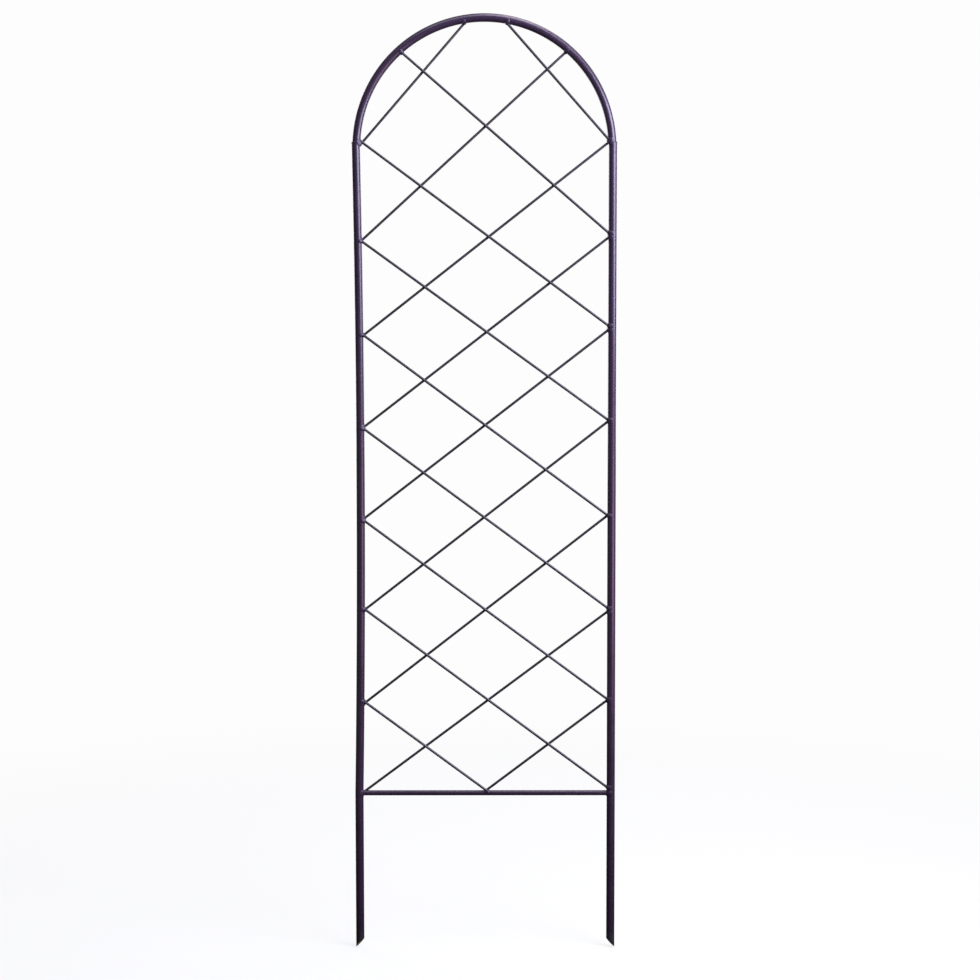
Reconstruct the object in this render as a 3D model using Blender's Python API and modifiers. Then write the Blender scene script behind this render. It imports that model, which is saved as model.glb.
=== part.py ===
# Round-top garden trellis: a hoop and two tubular posts with a welded lattice of round rod.
# Metres. The front is -Y, +X is to the right seen from the front, and +Z is up.
# The origin is on the soil line, midway between the posts.

from math import acos, cos, hypot, radians, sin, sqrt, tan

import bmesh
import bpy
from mathutils import Matrix, Vector

# The whole trellis
HEIGHT = 1.800  # from the points of the legs to the top of the hoop
WIDTH = 0.505  # across the outsides of the posts
IN_SOIL = 0.250  # how deep the legs go into the ground

# Frame tube: hoop and posts
TUBE_DIAMETER = 0.016
TUBE_WALL = 0.0012
HOOP_STEP = 0.0014  # the hoop's ends meet the posts this much nearer the middle
HOOP_SPRING = 0.0097  # the bent hoop has sprung open, and its centre lies this far below its ends
SEAM_ROOT = 0.003  # space between hoop and post that the butt weld fills
LEFT_POST_BOW = 0.0057  # the lattice has drawn the posts in by this much at mid-height
RIGHT_POST_BOW = 0.0003
LEG_CUT_SLOPE = radians(50)  # steepness of the oblique cut at the foot of a leg
LEG_CUT_TURN = radians(25)  # the cut's long point is turned this far towards the back

# Bottom rail
RAIL_DIAMETER = 0.010
RAIL_WALL = 0.001

# Lattice
ROD_DIAMETER = 0.005
NODE_PITCH = 0.179  # from one welded node to the next along a post
PITCHES = 7  # between the hoop's seam and the bottom rail

# The rods were set by eye. Two of each set start on the hoop, at these angles from its crown. Down
# the posts, each rod starts and ends this far above its even place, counted from the top, and the
# last rod ends on the rail, this far right of its middle.
FALLING_RODS = {
    "hoop": (radians(10.8), radians(41.3)),
    "starts": (0.002, -0.008, -0.007, -0.008, -0.006, 0.002, 0.001),
    "ends": (0.006, 0.008, 0.011, 0.010, 0.005, 0.005, 0.006, 0.012),
    "rail": 0.004,
}
RISING_RODS = {
    "hoop": (radians(9.4), radians(40.8)),
    "starts": (-0.001, -0.001, 0.002, 0.006, 0.004, -0.004, 0.002),
    "ends": (-0.003, -0.005, -0.007, -0.003, 0, 0.001, -0.003, 0.001),
    "rail": 0.002,
}

# Welds
WELD_LEG = 0.0013  # how far a bead spreads along the frame past the rods or rail it holds
WELD_THROW = 0.0029  # how far it stands out from the frame, towards the lattice
WELD_WRAP = 0.0008  # how far it stands proud of the frame's front and back, which it laps over
SEAM_CAP = 0.006  # height of the butt weld's cap over hoop and post
SEAM_RISE = 0.0007  # how far the cap stands proud of both tubes

# Clearance between pieces that touch on the real trellis
GAP = 0.0003

# Facets round each kind of section, and along the hoop
TUBE_SIDES = 16
ROD_SIDES = 12
HOOP_STEPS = 36
BEAD_SIDES = 16
SEAM_SIDES = 24

tube_radius = TUBE_DIAMETER / 2
rail_radius = RAIL_DIAMETER / 2
rod_radius = ROD_DIAMETER / 2
post_x = WIDTH / 2 - tube_radius
hoop_x = post_x - HOOP_STEP  # of the hoop's ends
hoop_radius = hypot(hoop_x, HOOP_SPRING)
hoop_reach = acos(HOOP_SPRING / hoop_radius)  # from the crown to each end
hoop_centre = Vector((0, 0, HEIGHT - IN_SOIL - tube_radius - hoop_radius))
seam_z = hoop_centre.z + HOOP_SPRING
rail_z = seam_z - PITCHES * NODE_PITCH
tip_z = -IN_SOIL
set_plane = rod_radius + GAP / 2  # each set of rods lies this far from the middle plane
front, back = -1, 1
left, right = -1, 1
sides = {left: "left", right: "right"}
post_bow = {left: LEFT_POST_BOW, right: RIGHT_POST_BOW}

for leftover in list(bpy.data.objects):
    bpy.data.objects.remove(leftover)

trellis = bpy.data.collections.new("metal_trellis")
cutters = bpy.data.collections.new("cutters")
cutters.hide_render = True
for group in (trellis, cutters):
    bpy.context.scene.collection.children.link(group)


def coating(name, colour, roughness):
    """Satin stoving paint on steel."""
    material = bpy.data.materials.new(name)
    material.use_nodes = True
    shader = material.node_tree.nodes["Principled BSDF"]
    shader.inputs["Base Color"].default_value = (*colour, 1)
    shader.inputs["Metallic"].default_value = 0
    shader.inputs["Roughness"].default_value = roughness
    return material


frame_coat = coating("plum_satin_coat", (0.024, 0.011, 0.027), 0.35)
rod_coat = coating("plum_rod_coat", (0.027, 0.020, 0.031), 0.42)
weld_coat = coating("plum_weld_coat", (0.020, 0.011, 0.022), 0.50)


def post_axis(side, z):
    """The point of a post's axis at height z: straight in the leg, drawn in between rail and seam."""
    way = (z - rail_z) / (seam_z - rail_z)
    bow = post_bow[side] * 4 * way * (1 - way) if 0 < way < 1 else 0
    return Vector((side * (post_x - bow), 0, z))


def hoop_point(angle, radius):
    """A point at an angle from the crown, positive to the right."""
    return hoop_centre + Vector((sin(angle), 0, cos(angle))) * radius


def link(obj, group, material=None):
    group.objects.link(obj)
    if group is cutters:
        obj.hide_render = True
        obj.display_type = "WIRE"
    if material:
        obj.data.materials.append(material)
        obj.data.shade_smooth()
        obj.data.set_sharp_from_angle(angle=radians(40))
    return obj


def tube_along(name, points, radius, group, material=None, wall=None, facets=TUBE_SIDES):
    """A round bar along the points or, with a wall, a tube open at both ends."""
    curve = bpy.data.curves.new(name, "CURVE")
    curve.dimensions = "3D"
    curve.bevel_depth = radius
    curve.bevel_resolution = (facets - 4) // 2
    curve.use_fill_caps = wall is None
    path = curve.splines.new("POLY")
    path.points.add(len(points) - 1)
    for spot, place in zip(path.points, points):
        spot.co = (*place, 1)
    bent = bpy.data.objects.new(name + "_path", curve)
    bpy.context.scene.collection.objects.link(bent)
    evaluated = bent.evaluated_get(bpy.context.evaluated_depsgraph_get())
    mesh = bpy.data.meshes.new_from_object(evaluated)
    mesh.name = name
    bpy.data.objects.remove(bent)
    bpy.data.curves.remove(curve)
    shape = bmesh.new()
    shape.from_mesh(mesh)
    bmesh.ops.remove_doubles(shape, verts=shape.verts, dist=GAP / 10)
    bmesh.ops.recalc_face_normals(shape, faces=shape.faces)
    shape.to_mesh(mesh)
    shape.free()
    tube = link(bpy.data.objects.new(name, mesh), group, material)
    if wall:
        shell = tube.modifiers.new("wall", "SOLIDIFY")
        shell.thickness = wall
        shell.offset = -1
        shell.use_even_offset = True
    return tube


def rod_between(name, start, end, radius, group, material=None):
    """A straight round bar. Its object stands at the middle of the bar, with local Z along it."""
    run = end - start
    mesh = bpy.data.meshes.new(name)
    shape = bmesh.new()
    bmesh.ops.create_cone(
        shape, cap_ends=True, segments=ROD_SIDES, radius1=radius, radius2=radius, depth=run.length
    )
    shape.to_mesh(mesh)
    shape.free()
    rod = link(bpy.data.objects.new(name, mesh), group, material)
    rod.location = (start + end) / 2
    rod.rotation_euler = run.to_track_quat("Z", "Y").to_euler()
    return rod


def block_under(name, point, normal):
    """A block with its top face in a plane, around a point of that plane."""
    size = TUBE_DIAMETER * 4
    mesh = bpy.data.meshes.new(name)
    shape = bmesh.new()
    bmesh.ops.create_cube(shape, size=size, matrix=Matrix.Translation((0, 0, -size / 2)))
    shape.to_mesh(mesh)
    shape.free()
    block = link(bpy.data.objects.new(name, mesh), cutters)
    block.location = point
    block.rotation_euler = normal.to_track_quat("Z", "Y").to_euler()
    return block


def cut(obj, cutter, operation="DIFFERENCE"):
    step = obj.modifiers.new(operation.lower() + "_" + cutter.name, "BOOLEAN")
    step.operation = operation
    step.object = cutter
    step.solver = "EXACT"


# Hoop and posts

hoop_end = SEAM_ROOT / 2 / hoop_radius  # the angle that the butt weld's root takes at each end
post_top = seam_z - SEAM_ROOT / 2


def hoop_path(short):
    """The hoop's centre line, each end short of the seam by an angle."""
    reach = hoop_reach - short
    return [
        hoop_point(-reach + 2 * reach * step / HOOP_STEPS, hoop_radius) for step in range(HOOP_STEPS + 1)
    ]


def post_path(side, top, bottom):
    """A post's centre line, with a point at each even node height."""
    evens = [seam_z - step * NODE_PITCH for step in range(1, PITCHES + 1)]
    return [post_axis(side, z) for z in (top, *evens, bottom)]


def leg_cutter(side):
    """The cut's plane slopes down to the leg's long point, at the tip's height."""
    towards_tip = Vector((side * cos(LEG_CUT_TURN), sin(LEG_CUT_TURN), 0))
    normal = towards_tip * sin(LEG_CUT_SLOPE) + Vector((0, 0, cos(LEG_CUT_SLOPE)))
    on_axis = post_axis(side, tip_z + tube_radius * tan(LEG_CUT_SLOPE))
    return block_under("leg_cutter", on_axis, normal)


arch_hoop = tube_along("arch_hoop", hoop_path(hoop_end), tube_radius, trellis, frame_coat, TUBE_WALL)
round_hoop = tube_along("round_hoop", hoop_path(hoop_end - GAP / hoop_radius), tube_radius + GAP, cutters)
posts = {}
round_post = {}
for side, word in sides.items():
    name = word + "_post"
    path = post_path(side, post_top, tip_z)
    posts[side] = tube_along(name, path, tube_radius, trellis, frame_coat, TUBE_WALL)
    cut(posts[side], leg_cutter(side))
    path = post_path(side, post_top + GAP, tip_z)
    round_post[side] = tube_along("round_" + name, path, tube_radius + GAP, cutters)


# Bottom rail: it runs into both posts and is cut back to them. No rod reaches below its middle.

rail_ends = {side: post_axis(side, rail_z) for side in sides}
ends = rail_ends.values()
bottom_rail = tube_along("bottom_rail", ends, rail_radius, trellis, frame_coat, RAIL_WALL, ROD_SIDES)
round_rail = tube_along("round_rail", ends, rail_radius + GAP, cutters, facets=ROD_SIDES)
below_rail = {}
for side, end in rail_ends.items():
    cut(bottom_rail, round_post[side])
    below_rail[side] = block_under("below_rail", end, Vector((0, 0, 1)))


# Butt weld between hoop and post

ramp = SEAM_ROOT / 2 - GAP * 2  # the weld steps over from the post to the hoop this near the seam


def seam_bar(name, side, radius, height):
    """An upright bar through a seam, on the post's line below it and on the hoop's above it."""
    mesh = bpy.data.meshes.new(name)
    shape = bmesh.new()
    bmesh.ops.create_cone(
        shape, cap_ends=True, segments=SEAM_SIDES, radius1=radius, radius2=radius, depth=height
    )
    for level in (-ramp, ramp):
        whole = [*shape.verts, *shape.edges, *shape.faces]
        bmesh.ops.bisect_plane(shape, geom=whole, plane_co=(0, 0, level), plane_no=(0, 0, 1))
    for corner in shape.verts:
        corner.co.x += side * (hoop_x if corner.co.z > 0 else post_x)
    shape.to_mesh(mesh)
    shape.free()
    bar = link(bpy.data.objects.new(name, mesh), cutters)
    bar.location = (0, 0, seam_z)
    return bar


round_seam = {
    side: seam_bar("round_seam", side, tube_radius + SEAM_RISE + GAP, SEAM_CAP + 2 * GAP)
    for side in sides
}


# Landings: where a rod ends. Each is a place on the frame's inner face, the radius of the frame
# there, the bars that the rod is cut back to, and the name of the weld.

def on_hoop(side, angle, spot):
    place = hoop_point(side * angle, hoop_radius - tube_radius)
    return place, tube_radius, [round_hoop], f"hoop_weld_{sides[side]}_{spot}"


def on_post(side, number, above):
    """Node 1 is at the seam, where the rods meet the hoop's end, and the last is over the rail."""
    height = seam_z - (number - 1) * NODE_PITCH + above
    place = post_axis(side, height) - Vector((side * tube_radius, 0, 0))
    bars = [round_post[side]]
    weld = f"post_weld_{sides[side]}_{number}"
    if number == 1:
        place.x = side * (hoop_x - tube_radius)
        bars += [round_hoop, round_seam[side]]
        weld = f"seam_weld_{sides[side]}"
    elif number > PITCHES:
        bars += [round_rail, below_rail[side]]
        weld = f"rail_weld_{sides[side]}"
    return place, tube_radius, bars, weld


def on_rail(aside):
    top = rail_z + sqrt(rail_radius**2 - set_plane**2)
    return Vector((aside, 0, top)), rail_radius, [round_rail], "rail_weld_centre"


# Lattice: every rod is named by its set and counted from the top

held_at = {}  # weld name: the place, direction, radius and cutter of each bar that it holds


def lattice_rod(name, landings, plane):
    """A rod between two landings, pushed on half a radius into the frame and cut back to it."""
    middle = Vector((0, plane * set_plane, 0))
    along = (landings[1][0] - landings[0][0]).normalized()
    ends = [
        place + middle + along * way * frame_radius / 2
        for way, (place, frame_radius, _, _) in zip((-1, 1), landings)
    ]
    rod = rod_between(name, *ends, rod_radius, trellis, rod_coat)
    round_rod = rod_between("round_" + name, *ends, rod_radius + GAP, cutters)
    for bar in dict.fromkeys(bar for _, _, bars, _ in landings for bar in bars):
        cut(rod, bar)
    for place, _, _, weld in landings:
        held_at.setdefault(weld, []).append((place + middle, along, rod_radius, round_rod))


for name, side, plane, rods in (
    ("falling_rod", left, front, FALLING_RODS),
    ("rising_rod", right, back, RISING_RODS),
):
    crown, shoulder = rods["hoop"]
    starts = [on_hoop(-side, crown, "crown"), on_hoop(side, shoulder, "shoulder")]
    starts += [on_post(side, number, above) for number, above in enumerate(rods["starts"], 1)]
    ends = [on_post(-side, number, above) for number, above in enumerate(rods["ends"], 1)]
    ends += [on_rail(rods["rail"])]
    for number, landings in enumerate(zip(starts, ends), 1):
        lattice_rod(f"{name}_{number}", landings, plane)


# Welds: one rounded bead over the ends of all that meet at a landing. Its middle is half a radius
# inside the frame's surface, so it laps over the inner half of the tube, and it's cut back to the
# frame and the rods.


def weld_bead(name, out, frame_radius):
    """Out points from the frame's axis into the lattice."""
    round_frame = Vector((0, 1, 0))
    along = round_frame.cross(out)
    held = held_at[name]
    reaches = [radius / abs(direction.dot(out)) + WELD_LEG for _, direction, radius, _ in held]
    low = min(place.dot(along) - reach for (place, *_), reach in zip(held, reaches))
    high = max(place.dot(along) + reach for (place, *_), reach in zip(held, reaches))
    front_edge = min(place.y - radius for place, _, radius, _ in held)
    back_edge = max(place.y + radius for place, _, radius, _ in held)
    depth = (front_edge + back_edge) / 2
    out_to = sum(place.dot(out) for place, *_ in held) / len(held) - frame_radius / 2
    middle = out * out_to + round_frame * depth + along * (low + high) / 2
    thickness = frame_radius / 2 + WELD_THROW
    at_surface = sqrt(1 - (frame_radius / 2 / thickness) ** 2)  # the bead's length there, as a share
    sizes = (thickness, frame_radius + WELD_WRAP - abs(depth), (high - low) / 2 / at_surface)
    mesh = bpy.data.meshes.new(name)
    shape = bmesh.new()
    bmesh.ops.create_uvsphere(shape, u_segments=BEAD_SIDES, v_segments=BEAD_SIDES // 2, radius=1)
    bmesh.ops.scale(shape, verts=shape.verts, vec=sizes)
    shape.to_mesh(mesh)
    shape.free()
    bead = link(bpy.data.objects.new(name, mesh), trellis, weld_coat)
    bead.location = middle
    bead.rotation_euler = Matrix((out, round_frame, along)).transposed().to_euler()
    return bead


def clear_rods(weld):
    for *_, cutter in held_at[weld.name]:
        cut(weld, cutter)


for side, word in sides.items():
    inward = Vector((-side, 0, 0))
    for spot in ("crown", "shoulder"):
        name = f"hoop_weld_{word}_{spot}"
        out = (hoop_centre - held_at[name][0][0]) * Vector((1, 0, 1))
        weld = weld_bead(name, out.normalized(), tube_radius)
        cut(weld, round_hoop)
        clear_rods(weld)
    for number in range(2, PITCHES + 1):
        weld = weld_bead(f"post_weld_{word}_{number}", inward, tube_radius)
        cut(weld, round_post[side])
        clear_rods(weld)

    # The butt weld's cap, with the bead of the first node
    weld = weld_bead(f"seam_weld_{word}", inward, tube_radius)
    cut(weld, seam_bar("cap", side, tube_radius + SEAM_RISE, SEAM_CAP), "UNION")
    cut(weld, round_hoop)
    cut(weld, round_post[side])
    cut(weld, seam_bar("bore", side, tube_radius - TUBE_WALL, SEAM_CAP))
    clear_rods(weld)

    # The bead at the rail's end takes in the rod in the corner
    name = f"rail_weld_{word}"
    end = Vector((side * (post_x - tube_radius), 0, rail_z))
    held_at[name].append((end, inward, rail_radius, round_rail))
    weld = weld_bead(name, inward, tube_radius)
    cut(weld, round_post[side])
    clear_rods(weld)

weld = weld_bead("rail_weld_centre", Vector((0, 0, 1)), rail_radius)
cut(weld, round_rail)
clear_rods(weld)

print(f"rail {rail_z * 1000:.1f} mm over the soil, {len(trellis.objects)} pieces")
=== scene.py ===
# Looks of the round-top garden trellis: stove-coated tube and rod, its welds, the camera and the light.
# Metres, in the frame's own axes: the front is -Y, +X is to the right and +Z is up.
from math import acos, asin, atan2, cos, exp, hypot, pi, radians, sin

import bpy
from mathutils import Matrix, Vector


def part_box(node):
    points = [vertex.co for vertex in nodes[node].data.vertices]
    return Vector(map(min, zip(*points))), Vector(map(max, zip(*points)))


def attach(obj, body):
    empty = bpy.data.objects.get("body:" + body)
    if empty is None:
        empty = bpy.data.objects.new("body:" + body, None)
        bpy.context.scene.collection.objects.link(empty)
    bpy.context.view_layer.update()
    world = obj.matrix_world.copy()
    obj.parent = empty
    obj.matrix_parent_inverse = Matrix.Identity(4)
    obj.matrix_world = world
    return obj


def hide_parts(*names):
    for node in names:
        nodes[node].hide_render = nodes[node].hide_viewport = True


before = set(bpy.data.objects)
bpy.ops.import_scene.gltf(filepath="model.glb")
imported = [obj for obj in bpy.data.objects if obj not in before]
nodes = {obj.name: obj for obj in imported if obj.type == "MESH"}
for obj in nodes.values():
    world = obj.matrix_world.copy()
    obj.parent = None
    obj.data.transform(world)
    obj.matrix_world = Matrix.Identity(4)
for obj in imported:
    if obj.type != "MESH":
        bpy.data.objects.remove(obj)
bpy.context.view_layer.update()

mm = 0.001
left, right = -1, 1
roundAxis = Vector((0, 1, 0))  # the way the hoop is bent round
sideNames = {left: "left", right: "right"}

tubing = {
    "radius": 8 * mm,
    "wall": 1.2 * mm,
    "sides": 48,
    "postX": 244.5 * mm,  # the posts' axes
    "bow": {left: 5.7 * mm, right: 0.3 * mm},  # the lattice has drawn them in at mid-height
    "hoopX": 243.1 * mm,  # the axes of the hoop's ends
    "hoopSpring": 9.7 * mm,  # the hoop's centre lies this far below its ends
    "root": 3 * mm,  # the butt weld's gap
    "bendSteps": 144,
}
barrel = 60 * mm  # length of the bars and blocks that cut a piece's ends
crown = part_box("arch_hoop")[1].z
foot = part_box("left_post")[0].z
hoopRadius = hypot(tubing["hoopX"], tubing["hoopSpring"])
hoopCentre = Vector((0, 0, crown - tubing["radius"] - hoopRadius))
seamZ = hoopCentre.z + tubing["hoopSpring"]
railLow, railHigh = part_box("bottom_rail")
railZ = (railLow.z + railHigh.z) / 2
railRadius = (railHigh.z - railLow.z) / 2


# Workshop helpers

def deselect():
    if bpy.context.object and bpy.context.object.mode != "OBJECT":
        bpy.ops.object.mode_set(mode="OBJECT")
    bpy.ops.object.select_all(action="DESELECT")


def pick(piece):
    deselect()
    piece.select_set(True)
    bpy.context.view_layer.objects.active = piece


def fresh(operator, **settings):  # adds a primitive and returns it, with nothing else selected
    deselect()
    operator(**settings)
    return bpy.context.object


def edit(piece, selection="SELECT"):
    pick(piece)
    bpy.ops.object.mode_set(mode="EDIT")
    bpy.ops.mesh.select_all(action=selection)


def applyModifier(piece, kind, **settings):
    pick(piece)
    modifier = piece.modifiers.new(kind.lower(), kind)
    for key, value in settings.items():
        setattr(modifier, key, value)
    bpy.ops.object.modifier_apply(modifier=modifier.name)


def cutAway(piece, cutter):
    applyModifier(piece, "BOOLEAN", object=cutter, operation="DIFFERENCE", solver="EXACT")
    bpy.data.objects.remove(cutter)


def finishPiece(piece, node, finish, sharp=40):
    pick(piece)
    bpy.ops.object.transform_apply(location=True, rotation=True, scale=True)
    piece.name = piece.data.name = node + "_coated"
    piece.data.materials.clear()
    for material in finish:
        piece.data.materials.append(material)
    bpy.ops.object.shade_smooth_by_angle(angle=radians(sharp))
    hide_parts(node)
    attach(piece, "root")
    return piece


# Materials

toneRange, glossRange = (0.35, 0.7), (0.3, 0.7)  # the part of a noise that carries all of the change
peelDepth = 0.1 * mm


def srgb(code):  # an sRGB hex value as linear colour
    parts = [int(code[place : place + 2], 16) / 255 for place in (1, 3, 5)]
    return (*(part / 12.92 if part <= 0.04045 else ((part + 0.055) / 1.055) ** 2.4 for part in parts), 1)


def addNode(tree, kind, links=None, **settings):
    node = tree.nodes.new(kind)
    for key, value in settings.items():
        if key in node.inputs and not hasattr(node, key):
            node.inputs[key].default_value = value
        else:
            setattr(node, key, value)
    for socket, source in (links or {}).items():
        tree.links.new(source, node.inputs[socket])
    return node


def blend(tree, source, start, end, low, high):
    ramp = addNode(tree, "ShaderNodeMapRange", {"Value": source}, interpolation_type="SMOOTHSTEP")
    for key, value in (("From Min", start), ("From Max", end), ("To Min", low), ("To Max", high)):
        ramp.inputs[key].default_value = value
    return ramp.outputs["Result"]


def noise(tree, place, size, detail=2):
    return addNode(tree, "ShaderNodeTexNoise", {"Vector": place}, Scale=1 / size, Detail=detail).outputs["Fac"]


def toneOf(tree, source, dark, light):
    tone = addNode(tree, "ShaderNodeValToRGB", {"Fac": source})
    for stop, position, colour in zip(tone.color_ramp.elements, toneRange, (dark, light)):
        stop.position, stop.color = position, srgb(colour)
    return tone.outputs["Color"]


def metalFinish(name, look):
    material = bpy.data.materials.new(name)
    material.use_nodes = True
    tree = material.node_tree
    shader = tree.nodes["Principled BSDF"]
    place = addNode(tree, "ShaderNodeTexCoord").outputs["Object"]
    colour = toneOf(tree, noise(tree, place, look["toneSize"], 3), look["dark"], look["light"])
    gloss = blend(tree, noise(tree, place, look["glossSize"]), *glossRange, *look["roughness"])
    if "rubbed" in look:
        rubbed = look["rubbed"]
        height = addNode(tree, "ShaderNodeSeparateXYZ", {"Vector": place}).outputs["Z"]
        patches = {1: noise(tree, place, rubbed["patch"]), 2: height}
        ragged = addNode(tree, "ShaderNodeMath", patches, operation="MULTIPLY_ADD")
        ragged.inputs[0].default_value = rubbed["ragged"]
        worn = blend(tree, ragged.outputs[0], rubbed["from"], rubbed["full"], 0, 1)
        colour = addNode(tree, "ShaderNodeMix", {"Factor": worn, 6: colour}, data_type="RGBA")
        colour.inputs[7].default_value = srgb(rubbed["colour"])
        colour = colour.outputs[2]
        gloss = addNode(tree, "ShaderNodeMix", {"Factor": worn, "A": gloss}, B=rubbed["roughness"]).outputs[0]
    tree.links.new(colour, shader.inputs["Base Color"])
    tree.links.new(gloss, shader.inputs["Roughness"])
    peel = noise(tree, place, look["peelSize"])
    bump = addNode(tree, "ShaderNodeBump", {"Height": peel}, Strength=look["peel"], Distance=peelDepth)
    tree.links.new(bump.outputs["Normal"], shader.inputs["Normal"])
    shader.inputs["Metallic"].default_value = look["metallic"]
    shader.inputs["Specular Tint"].default_value = srgb(look["tint"])
    return material


# Plum powder coat, stoved on drawn tube: a satin skin with a faint orange peel, which mirrors the window as a
# soft bright line. Below the soil line it is rubbed and dulled to a dark grey.
tubePaint = metalFinish("plum_powder_coat_on_tube", {
    "dark": "#281B2D", "light": "#302236", "toneSize": 90 * mm, "metallic": 0, "tint": "#F3E7F9",
    "roughness": (0.24, 0.31), "glossSize": 25 * mm, "peelSize": 5 * mm, "peel": 0.25,
    "rubbed": {
        "from": -180 * mm, "full": -225 * mm, "colour": "#232427", "roughness": 0.42,
        "patch": 12 * mm, "ragged": 40 * mm,
    },
})
# The same coat on drawn wire rod, where it lies thinner and looks a little duller and greyer.
rodPaint = metalFinish("plum_powder_coat_on_wire_rod", {
    "dark": "#241F27", "light": "#2E2930", "toneSize": 60 * mm, "metallic": 0, "tint": "#F3EBF8",
    "roughness": (0.30, 0.38), "glossSize": 20 * mm, "peelSize": 4 * mm, "peel": 0.25,
})
# The same coat over rippled weld metal, its tone varying at random between a darker and a paler plum.
weldPaint = metalFinish("plum_powder_coat_on_weld_bead", {
    "dark": "#22182B", "light": "#3A2C41", "toneSize": 6 * mm, "metallic": 0, "tint": "#F3E7F9",
    "roughness": (0.24, 0.36), "glossSize": 3 * mm, "peelSize": 1.5 * mm, "peel": 0.4,
})
# Mild steel, bare where the tube was sawn through and inside the bore: dull grey-brown with thin rust and soil.
boreSteel = metalFinish("sawn_mild_steel_with_thin_rust", {
    "dark": "#5C523E", "light": "#9A8E7C", "toneSize": 5 * mm, "metallic": 0.6, "tint": "#FFFFFF",
    "roughness": (0.42, 0.6), "glossSize": 2 * mm, "peelSize": 0.8 * mm, "peel": 0.5,
})


# Hoop, posts and rail

def postAxis(side, z):
    way = (z - railZ) / (seamZ - railZ)
    bow = tubing["bow"][side] * 4 * way * (1 - way) if 0 < way < 1 else 0
    return Vector((side * (tubing["postX"] - bow), 0, z))


def giveWall(piece, wall):  # an open skin becomes a tube with square ends
    edit(piece)
    bpy.ops.mesh.normals_make_consistent(inside=False)
    bpy.ops.object.mode_set(mode="OBJECT")
    applyModifier(piece, "SOLIDIFY", thickness=wall, offset=-1, use_even_offset=True)


hoopShort = tubing["root"] / 2 / hoopRadius
hoopReach = acos(tubing["hoopSpring"] / hoopRadius) - hoopShort
hoopStart = hoopCentre + Vector((-sin(hoopReach), 0, cos(hoopReach))) * hoopRadius
hoop = fresh(
    bpy.ops.mesh.primitive_circle_add, vertices=tubing["sides"], radius=tubing["radius"],
    location=hoopStart, rotation=(0, pi / 2 - hoopReach, 0),
)
edit(hoop)
bpy.ops.mesh.spin(steps=tubing["bendSteps"], angle=-2 * hoopReach, center=hoopCentre, axis=(0, 1, 0))
giveWall(hoop, tubing["wall"])
finishPiece(hoop, "arch_hoop", [tubePaint])
print("hoop bent to a radius of", round(hoopRadius / mm, 1), "mm")

legs = {
    "slope": radians(50),  # steepness of the oblique cut
    "turn": radians(25),  # its long point is turned this far to the back
    "sawn": 40 * mm,  # the cut lies below this height
    "steps": 28,
}
for side, word in sideNames.items():
    top = seamZ - tubing["root"] / 2
    heights = [top + (railZ - top) * step / legs["steps"] for step in range(legs["steps"] + 1)] + [foot]
    post = fresh(
        bpy.ops.mesh.primitive_circle_add, vertices=tubing["sides"], radius=tubing["radius"],
        location=postAxis(side, heights[0]),
    )
    edit(post)
    for upper, lower in zip(heights, heights[1:]):
        step = postAxis(side, lower) - postAxis(side, upper)
        bpy.ops.mesh.extrude_region_move(TRANSFORM_OT_translate={"value": step})
    giveWall(post, tubing["wall"])
    towardsTip = Vector((side * cos(legs["turn"]), sin(legs["turn"]), 0))
    normal = towardsTip * sin(legs["slope"]) + Vector((0, 0, cos(legs["slope"])))
    onAxis = postAxis(side, foot + tubing["radius"] * sin(legs["slope"]) / cos(legs["slope"]))
    block = fresh(bpy.ops.mesh.primitive_cube_add, size=barrel, location=onAxis - normal * barrel / 2)
    block.rotation_euler = normal.to_track_quat("Z", "Y").to_euler()
    cutAway(post, block)
    finishPiece(post, word + "_post", [tubePaint, boreSteel])
    for face in post.data.polygons:
        out = (face.center - postAxis(side, face.center.z)) * Vector((1, 1, 0))
        sawn = face.normal.dot(normal) < -0.99 and face.center.z < foot + legs["sawn"]
        face.material_index = int(sawn or out.length < tubing["radius"] - tubing["wall"] / 2)
print("posts drawn and cut")

railLook = {"sides": 36, "wall": 1 * mm, "spare": 3 * mm}  # spare length that the posts' curve takes off again
rail = fresh(
    bpy.ops.mesh.primitive_circle_add, vertices=railLook["sides"], radius=railRadius,
    location=(railLow.x - railLook["spare"], 0, railZ), rotation=(0, pi / 2, 0),
)
edit(rail)
railLength = railHigh.x - railLow.x + 2 * railLook["spare"]
bpy.ops.mesh.extrude_region_move(TRANSFORM_OT_translate={"value": (railLength, 0, 0)})
giveWall(rail, railLook["wall"])


def roundBlock(centre, out, radius):  # a solid bar to cut a neighbour's end back to
    return fresh(
        bpy.ops.mesh.primitive_cylinder_add, vertices=tubing["sides"], radius=radius, depth=barrel,
        location=centre, rotation=roundAxis.cross(out).to_track_quat("Z", "Y").to_euler(),
    )


for side in sideNames:
    cutAway(rail, roundBlock(postAxis(side, railZ), Vector((-side, 0, 0)), tubing["radius"]))
finishPiece(rail, "bottom_rail", [tubePaint])
print("rail fitted between the posts")


# Lattice. Each rod's line is read from its plain solid, and its ends are cut back to what they land on.

def solidLine(node):
    corners = [corner.co for corner in nodes[node].data.vertices]
    low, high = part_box(node)
    slope = atan2(high.z - low.z, high.x - low.x) * (-1 if "falling" in node else 1)
    step = radians(1)
    spread = {}
    while step > radians(0.0005):  # turn the ruler until the rod looks narrowest across it
        for angle in (slope - step, slope, slope + step):
            across = Vector((-sin(angle), 0, cos(angle)))
            offsets = [corner.dot(across) for corner in corners]
            spread[angle] = max(offsets) - min(offsets), (max(offsets) + min(offsets)) / 2
        best = min(spread, key=spread.get)
        step = step / 2 if best == slope else step
        slope = best
    along = Vector((cos(slope), 0, sin(slope)))
    reaches = [corner.dot(along) for corner in corners]
    middle = Vector((-sin(slope), 0, cos(slope))) * spread[slope][1] + Vector((0, (low.y + high.y) / 2, 0))
    return middle + along * min(reaches), middle + along * max(reaches)


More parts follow.
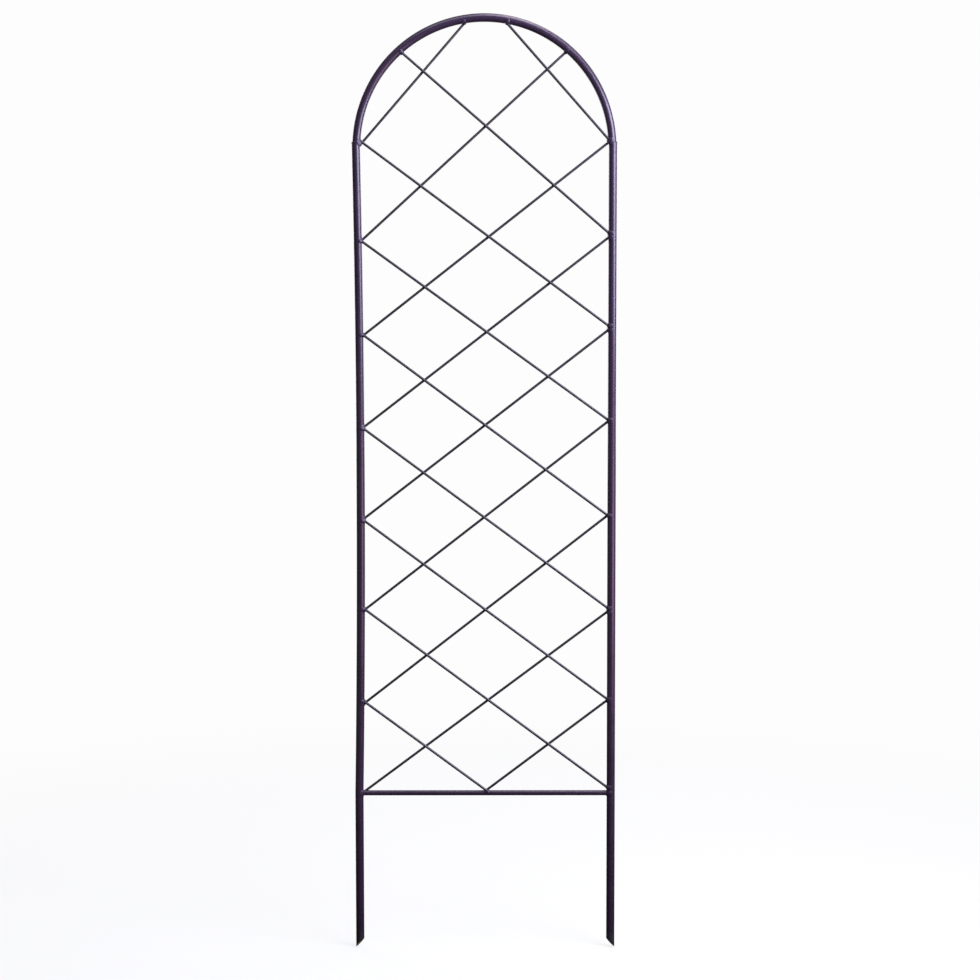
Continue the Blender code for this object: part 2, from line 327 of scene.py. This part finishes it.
nearby = {"seam": 8 * mm, "rail": 12 * mm}  # a rod's end this close to the seam or the rail is on it


def landings(end):  # the members that a rod's end meets: a point of the axis, the way in, the radius
    if end.z > seamZ + nearby["seam"]:
        inward = ((hoopCentre - end) * Vector((1, 0, 1))).normalized()
        return [(hoopCentre - inward * hoopRadius, inward, tubing["radius"])]
    onRail = (Vector((end.x, 0, railZ)), Vector((0, 0, 1)), railRadius)
    if abs(end.x) < tubing["postX"] / 2:
        return [onRail]
    side = left if end.x < 0 else right
    axis = postAxis(side, end.z)
    if end.z > seamZ - nearby["seam"]:  # at the seam the rods meet the hoop's end
        axis.x = side * tubing["hoopX"]
    onPost = (axis, Vector((-side, 0, 0)), tubing["radius"])
    return [onPost, onRail] if end.z < railZ + nearby["rail"] else [onPost]


rodLook = {"radius": 2.5 * mm, "sides": 24, "spare": 0.3 * mm, "trim": 40 * mm}
rodEnds = []  # where each rod reaches the frame, and the way it points there
for number in range(1, 10):
    for word in ("falling", "rising"):
        node = f"{word}_rod_{number}"
        start, end = solidLine(node)
        along = (end - start).normalized()
        rod = fresh(
            bpy.ops.mesh.primitive_cylinder_add, vertices=rodLook["sides"], radius=rodLook["radius"],
            depth=(end - start).length + 2 * rodLook["spare"], location=(start + end) / 2,
            rotation=along.to_track_quat("Z", "Y").to_euler(),
        )
        for place, way in ((start, -along), (end, along)):
            for centre, inward, radius in landings(place):
                cutAway(rod, roundBlock(centre, inward, radius))
            if place.z < railZ + nearby["rail"]:  # nothing of it stays below the rail's axis
                spot = (place.x, 0, railZ - rodLook["trim"] / 2)
                cutAway(rod, fresh(bpy.ops.mesh.primitive_cube_add, size=rodLook["trim"], location=spot))
            rodEnds.append((place, way))
        finishPiece(rod, node, [rodPaint])
print("rods set:", len(rodEnds) // 2)


# Welds. Each rod end has its own lump of weld metal, a ball that is wrapped round the tube. At the seams both
# rods share one. The lumps of a node are fused into one skin.

weldLook = {
    "front": {left: radians(84), right: radians(104)},  # how far a lump laps round to the front
    "back": radians(60),
    "height": 4.3 * mm,  # half of a lump's height along the tube
    "throw": 2.9 * mm,  # how far it stands out round the rod
    "spread": 0.8,  # the angle over which that falls off round the tube
    "proud": 0.55 * mm,  # how far it stands proud of the tube's front
    "root": 0.5 * mm,  # how deep it is fused into the wall
    "ripple": 1.7 * mm,
    "rippleDepth": 0.15 * mm,
    "rippleBend": 1.5 * mm,  # how far a ripple's ends trail behind its middle
    "voxel": 0.33 * mm,
    "lump": 2.6 * mm,  # size and depth of its unevenness
    "lumpDepth": 0.25 * mm,
    "reach": 2 * mm,  # it holds the rod ends this close to its plain solid
    "cap": 2.5 * mm,  # half of the width of the weld round the seam, and how far that stands proud
    "capProud": 0.36 * mm,
    "seamShare": 0.85,  # the lump at a seam is lower than two apart would be
    "railHeight": 6.3 * mm,  # the lump round a rail's end
    "railThrow": 2.2 * mm,
}
unevenness = bpy.data.textures.new("weld_unevenness", "CLOUDS")
unevenness.noise_scale = weldLook["lump"]
unevenness.noise_depth = 1


def weldLump(centre, inward, radius, side, rodAngle, height, throw):
    lump = fresh(bpy.ops.mesh.primitive_ico_sphere_add, subdivisions=6, radius=1)
    front, back = weldLook["front"][side], weldLook["back"]
    for corner in lump.data.vertices:
        level, arc, lift = corner.co
        angle = (front - back) / 2 + sin(arc * pi / 2) * (front + back) / 2  # blunt at both ends
        spread = exp(-(((angle - rodAngle) / weldLook["spread"]) ** 2))
        rise = weldLook["proud"] + (throw - weldLook["proud"]) * spread
        ripple = sin(2 * pi * (angle * radius + level**2 * weldLook["rippleBend"]) / weldLook["ripple"])
        rise += weldLook["rippleDepth"] * ripple
        stand = lift * (rise if lift > 0 else weldLook["root"])
        ray = inward * cos(angle) - roundAxis * sin(angle)
        corner.co = centre + ray * (radius + stand) + roundAxis.cross(inward) * level * height
    return lump


def seamRing(side):  # the butt weld round the tube steps over from the post's line to the hoop's
    ring = fresh(
        bpy.ops.mesh.primitive_torus_add, major_segments=192, minor_segments=24,
        major_radius=tubing["radius"], minor_radius=1,
    )
    for corner in ring.data.vertices:
        flat = corner.co * Vector((1, 1, 0))
        level, lift = corner.co.z, flat.length - tubing["radius"]
        turn = atan2(corner.co.y, corner.co.x)
        ripple = sin(2 * pi * (turn * tubing["radius"] / weldLook["ripple"] + level**2 * 0.8))
        stand = lift * weldLook["capProud"] + max(lift, 0) * weldLook["rippleDepth"] * ripple
        corner.co = flat.normalized() * (tubing["radius"] + stand)
        corner.co.x += side * (tubing["hoopX"] if level > 0 else tubing["postX"])
        corner.co.z = seamZ + level * weldLook["cap"]
    return ring


def fuse(lumps):
    pick(lumps[0])
    for lump in lumps:
        lump.select_set(True)
    if len(lumps) > 1:
        bpy.ops.object.join()
    weld = bpy.context.object
    applyModifier(weld, "REMESH", mode="VOXEL", voxel_size=weldLook["voxel"], adaptivity=0)
    applyModifier(weld, "SMOOTH", factor=0.5, iterations=2)
    applyModifier(weld, "DISPLACE", texture=unevenness, texture_coords="LOCAL", strength=weldLook["lumpDepth"])
    return weld


def held(node):  # the rod ends that a weld holds
    low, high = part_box(node)
    reach = weldLook["reach"]
    return [
        (place, way) for place, way in rodEnds
        if all(low[axis] - reach < place[axis] < high[axis] + reach for axis in range(3))
    ]


welds = sorted(name for name in nodes if "weld" in name)
for node in welds:
    low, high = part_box(node)
    side = left if (low + high).x < 0 else right
    feet = []  # where each rod meets the frame's skin
    for place, way in held(node):
        centre, inward, radius = landings(place)[0]
        rodAngle = asin(-place.y / radius)
        buried = (radius * cos(rodAngle) - (place - centre).dot(inward)) / -way.dot(inward)
        along = roundAxis.cross(inward)
        centre = centre + along * (place - way * buried - centre).dot(along)
        feet.append((centre, inward, radius, rodAngle))
    if node.startswith("seam"):
        (first, inward, radius, _), (second, *_) = feet
        height = weldLook["height"] * weldLook["seamShare"] + (first - second).length / 2
        shared = weldLump((first + second) / 2, inward, radius, side, 0, height, weldLook["throw"])
        lumps = [shared, seamRing(side)]
    else:
        lumps = [
            weldLump(centre, inward, radius, side, rodAngle, weldLook["height"], weldLook["throw"])
            for centre, inward, radius, rodAngle in feet
        ]
    if node in ("rail_weld_left", "rail_weld_right"):
        inward = Vector((-side, 0, 0))
        lumps.append(weldLump(
            postAxis(side, railZ), inward, tubing["radius"], side, 0, weldLook["railHeight"], weldLook["railThrow"]
        ))
    finishPiece(fuse(lumps), node, [weldPaint])
print("welds laid:", len(welds))


# Camera

camera = {
    "place": (16.5 * mm, -3600 * mm, 895.5 * mm), "tilt": radians(3.963), "roll": radians(0.052),
    "turn": radians(0.098), "lens": 68.875, "sensor": 36,
}
deselect()
bpy.ops.object.camera_add(
    location=camera["place"], rotation=(pi / 2 - camera["tilt"], camera["roll"], camera["turn"])
)
viewer = bpy.context.object
viewer.data.lens = camera["lens"]
viewer.data.sensor_width = camera["sensor"]
viewer.data.clip_start = 10 * mm
bpy.context.scene.camera = viewer


# Floor and room. The floor and the world are the white background; the lamps light the trellis.

studio = {
    "white": 0.982,
    "floorSize": 60, "floorColour": "#707070",
    "nearGlow": 0.78,  # the floor's own light round the legs, where it keeps their shadow
    "nearEdge": 0.9, "farEdge": 2.6,  # from here it passes into the plain white background
    "ambient": 0.16,
    # what the coat mirrors: the room, darker on the side away from the windows, and the dim ground, which
    # passes from one tone near the legs to another further off
    "brightWay": (0.7, 0.3, 0.65), "darkSide": 0.10, "brightSide": 0.55,
    "mirroredNear": 0.03, "mirroredFar": 0.24, "mirroredEdges": (0.6, 2.4),
}


def shownTo(tree):  # 1 for what the camera sees, straight or in a reflection or through glass
    rays = addNode(tree, "ShaderNodeLightPath").outputs
    straight = {0: rays["Is Camera Ray"], 1: rays["Is Glossy Ray"]}
    either = addNode(tree, "ShaderNodeMath", straight, operation="MAXIMUM").outputs[0]
    through = {0: either, 1: rays["Is Transmission Ray"]}
    return addNode(tree, "ShaderNodeMath", through, operation="MAXIMUM").outputs[0], rays["Is Glossy Ray"]


def paleFloor(name):
    material = bpy.data.materials.new(name)
    material.use_nodes = True
    tree = material.node_tree
    tree.nodes.remove(tree.nodes["Principled BSDF"])
    shown, mirrored = shownTo(tree)
    place = addNode(tree, "ShaderNodeTexCoord").outputs["Object"]
    away = addNode(tree, "ShaderNodeVectorMath", {0: place}, operation="LENGTH").outputs["Value"]
    near, far = studio["nearEdge"], studio["farEdge"]
    glow = blend(tree, away, near, far, studio["nearGlow"], studio["white"])
    dim = blend(tree, away, *studio["mirroredEdges"], studio["mirroredNear"], studio["mirroredFar"])
    strength = addNode(tree, "ShaderNodeMix", {"Factor": mirrored, "A": glow, "B": dim}).outputs[0]
    lit = addNode(tree, "ShaderNodeBsdfDiffuse", Color=srgb(studio["floorColour"])).outputs[0]
    own = addNode(tree, "ShaderNodeEmission", {"Strength": strength}).outputs[0]
    both = addNode(tree, "ShaderNodeAddShader", {0: lit, 1: own}).outputs[0]
    apart = addNode(tree, "ShaderNodeMath", {0: mirrored, 1: blend(tree, away, near, far, 0, 1)},
                    operation="MAXIMUM").outputs[0]
    seen = addNode(tree, "ShaderNodeMixShader", {0: apart, 1: both, 2: own}).outputs[0]
    surface = addNode(tree, "ShaderNodeMixShader", {0: shown, 1: lit, 2: seen}).outputs[0]
    tree.links.new(surface, tree.nodes["Material Output"].inputs["Surface"])
    return material


floor = fresh(bpy.ops.mesh.primitive_plane_add, size=studio["floorSize"], location=(0, 0, foot))
floor.name = floor.data.name = "floor"
floor.data.materials.append(paleFloor("matt_white_backdrop_paper"))

world = bpy.data.worlds.new("studio_room")
bpy.context.scene.world = world
world.use_nodes = True
tree = world.node_tree
shown, mirrored = shownTo(tree)
way = addNode(tree, "ShaderNodeTexCoord").outputs["Generated"]
facing = addNode(tree, "ShaderNodeVectorMath", {0: way}, operation="DOT_PRODUCT")
facing.inputs[1].default_value = studio["brightWay"]
tone = blend(tree, facing.outputs["Value"], -1, 1, studio["darkSide"], studio["brightSide"])
room = addNode(tree, "ShaderNodeMix", {"Factor": mirrored, "B": tone}, A=1).outputs[0]
level = blend(tree, shown, 0, 1, studio["ambient"], studio["white"])
strength = addNode(tree, "ShaderNodeMath", {0: room, 1: level}, operation="MULTIPLY").outputs[0]
background = tree.nodes["Background"]
background.inputs["Color"].default_value = (1, 1, 1, 1)
tree.links.new(strength, background.inputs["Strength"])

# The lamps stand at a bearing round the trellis, counted from the camera towards the right. Daylight comes
# from windows there, cooler from high up and pinkish off the ground, and from a pale ceiling. Two weak ones
# behind keep the back from going black.
lamps = {  # strength in watts for a square metre of lamp
    "window_high": {
        "bearing": 42, "distance": 2.0, "height": 1.8, "size": (1.3, 0.8), "strength": 46, "colour": "#E4EEFF",
    },
    "window_high_side": {
        "bearing": 70, "distance": 2.0, "height": 1.85, "size": (0.7, 0.9), "strength": 10, "colour": "#E8ECFF",
    },
    "window_middle": {
        "bearing": 56, "distance": 2.0, "height": 1.15, "size": (1.3, 0.5), "strength": 16, "colour": "#EAE6FF",
    },
    "window_low": {
        "bearing": 52, "distance": 2.0, "height": 0.35, "size": (1.7, 0.6), "strength": 15, "colour": "#FFD4E8",
    },
    "window_near": {
        "bearing": 62, "distance": 1.2, "height": 1.35, "size": (0.5, 0.8), "strength": 32, "colour": "#DCE4FF",
    },
    "skylight": {
        "bearing": 45, "distance": 1.7, "height": 3.0, "size": (1.3, 0.7), "strength": 20, "colour": "#DCE6FF",
    },
    "ceiling_front": {
        "bearing": 0, "distance": 0.9, "height": 2.9, "size": (1.6, 1.0), "strength": 11, "colour": "#E8F0FF",
    },
    "fill_back_left": {
        "bearing": -145, "distance": 2.4, "height": 1.5, "size": (1.6, 1.8), "strength": 9, "colour": "#F4F2FF",
    },
    "fill_back_right": {
        "bearing": 150, "distance": 2.4, "height": 1.5, "size": (1.6, 1.8), "strength": 9, "colour": "#F4F2FF",
    },
    "ceiling": {
        "bearing": 70, "distance": 0.4, "height": 2.9, "size": (1.4, 0.6), "strength": 26, "colour": "#FFF8FA",
    },
}
aim = Vector((0, 0, 1.15))  # all of them face this point of the lattice
for name, lamp in lamps.items():
    bearing = radians(lamp["bearing"])
    place = Vector((sin(bearing), -cos(bearing), 0)) * lamp["distance"] + Vector((0, 0, lamp["height"]))
    deselect()
    bpy.ops.object.light_add(type="AREA", location=place)
    light = bpy.context.object
    light.name = light.data.name = name
    light.data.shape = "RECTANGLE"
    light.data.size, light.data.size_y = lamp["size"]
    light.data.energy = lamp["strength"] * lamp["size"][0] * lamp["size"][1]
    light.data.color = srgb(lamp["colour"])[:3]
    light.rotation_euler = (aim - place).to_track_quat("-Z", "Y").to_euler()
    light.visible_camera = False
print("camera, floor and lamps:", len(lamps))

bpy.context.scene.view_settings.view_transform = "Standard"
